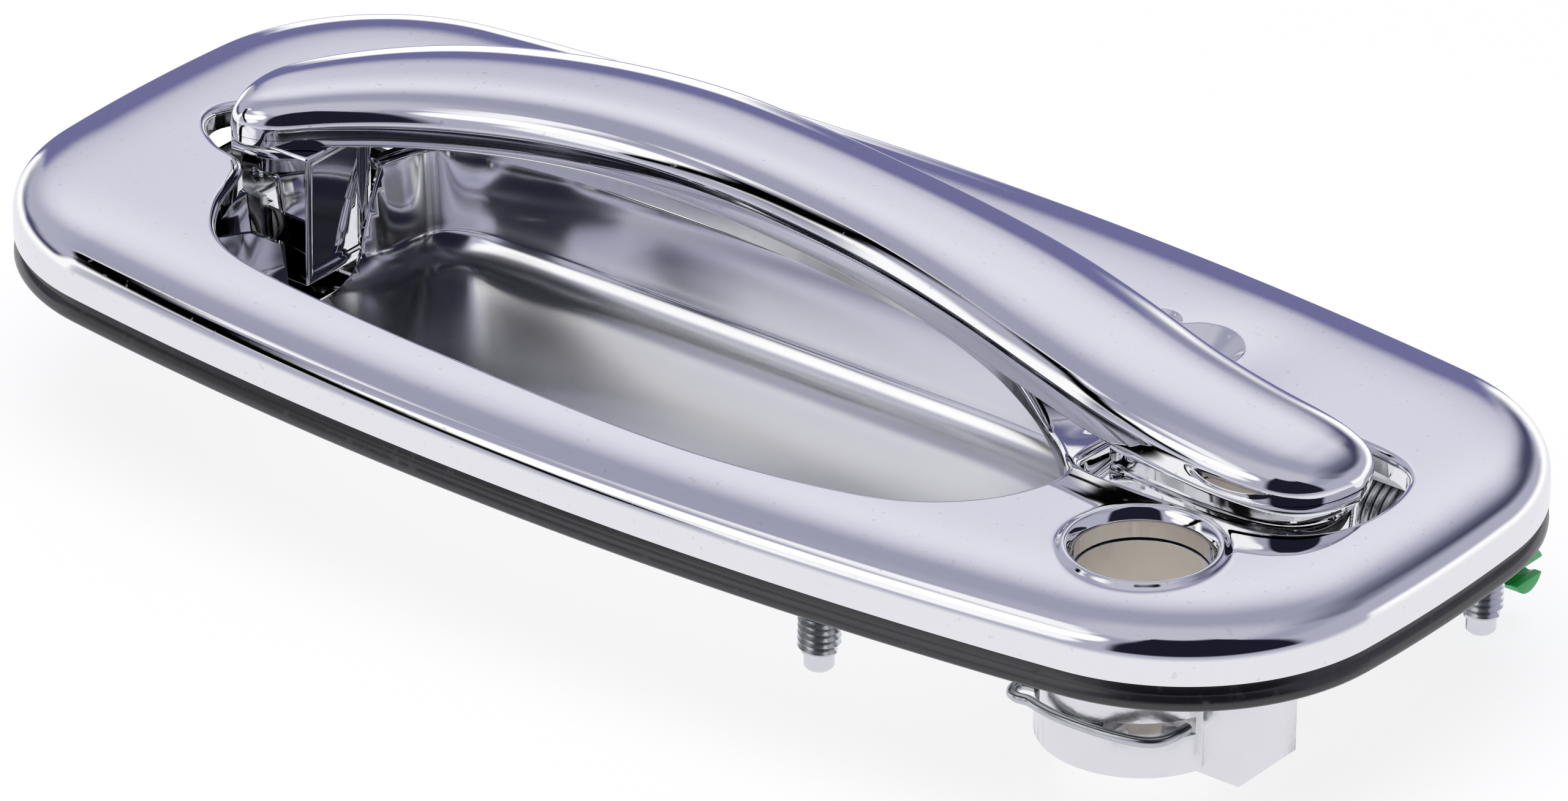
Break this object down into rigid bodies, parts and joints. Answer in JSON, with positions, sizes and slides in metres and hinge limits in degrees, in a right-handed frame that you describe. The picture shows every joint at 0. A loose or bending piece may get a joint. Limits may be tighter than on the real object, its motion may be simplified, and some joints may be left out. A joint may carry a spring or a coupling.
{
  "type": "car door handle",
  "caption": "Chrome exterior strap handle for a car door: a pivoting grip over a finger cup on a rounded plate, with a lock hole, studs and a bellcrank to the latch.",
  "frame": {"origin": "centre of the gasket's back face, which lies on the door skin", "axes": "+X along the handle from the hinge end to the lock end, +Y across the plate towards the strap's bulging edge, +Z out of the door"},
  "size_m": [0.228, 0.1074, 0.0481],
  "materials": {
    "chrome": "mirror chrome plate on die-cast metal",
    "plated_casting": "bright satin plated casting",
    "zinc_plated_steel": "bright zinc plate",
    "spring_steel": "drawn wire",
    "black_rubber": "moulded rubber, slight sheen",
    "white_nylon": "natural nylon",
    "green_plastic": "moulded green plastic",
    "dark_casting": "dark cast weight"
  },
  "bodies": {
    "base": {"bezel_plate": "chrome", "rim_gasket": "black_rubber", "finger_cup": "chrome", "lock_housing": "plated_casting", "lock_retainer_clip": "spring_steel", "mounting_stud_1": "zinc_plated_steel", "mounting_stud_2": "zinc_plated_steel", "mounting_stud_3": "zinc_plated_steel", "hinge_bracket": "zinc_plated_steel", "hinge_bracket_screw_1": "zinc_plated_steel", "hinge_bracket_screw_2": "zinc_plated_steel", "hinge_pin": "zinc_plated_steel", "hinge_pin_ring": "spring_steel", "cup_screw_1": "zinc_plated_steel", "cup_screw_2": "zinc_plated_steel", "cup_screw_3": "zinc_plated_steel", "cup_screw_4": "zinc_plated_steel", "bellcrank_bracket": "zinc_plated_steel", "bellcrank_bracket_screw_1": "zinc_plated_steel", "bellcrank_bracket_screw_2": "zinc_plated_steel", "bellcrank_pin": "zinc_plated_steel", "bellcrank_pin_ring": "spring_steel", "bellcrank_spring": "spring_steel"},
    "strap": {"grip_cover": "chrome", "grip_liner": "chrome", "grip_screw_1": "zinc_plated_steel", "grip_screw_2": "zinc_plated_steel", "hinge_bush_near": "white_nylon", "hinge_bush_far": "white_nylon"},
    "crank": {"bellcrank": "plated_casting", "counterweight": "dark_casting"},
    "clip": {"rod_clip": "green_plastic"}
  },
  "joints": [
    {"name": "strap_hinge", "type": "hinge", "parent": "base", "child": "strap", "pos_m": [-0.089, 0, -0.003], "axis": [0, -1, 0], "range_deg": [0, 8.5]},
    {"name": "bellcrank_pivot", "type": "hinge", "parent": "base", "child": "crank", "pos_m": [0.071, 0.029, -0.0045], "axis": [-1, 0, 0], "range_deg": [0, 57.5], "stiffness_Nm_per_rad": 0.15, "springref_deg": -51.57, "deforming": ["bellcrank_spring"]},
    {"name": "rod_clip_swivel", "type": "hinge", "parent": "crank", "child": "clip", "pos_m": [0.0939, 0.042, -0.0145], "axis": [1, 0, 0], "range_deg": [-45, 45]}
  ],
  "couplings": [
    {"joint": "bellcrank_pivot", "follows": "strap_hinge", "ratio": 6.753}
  ]
}
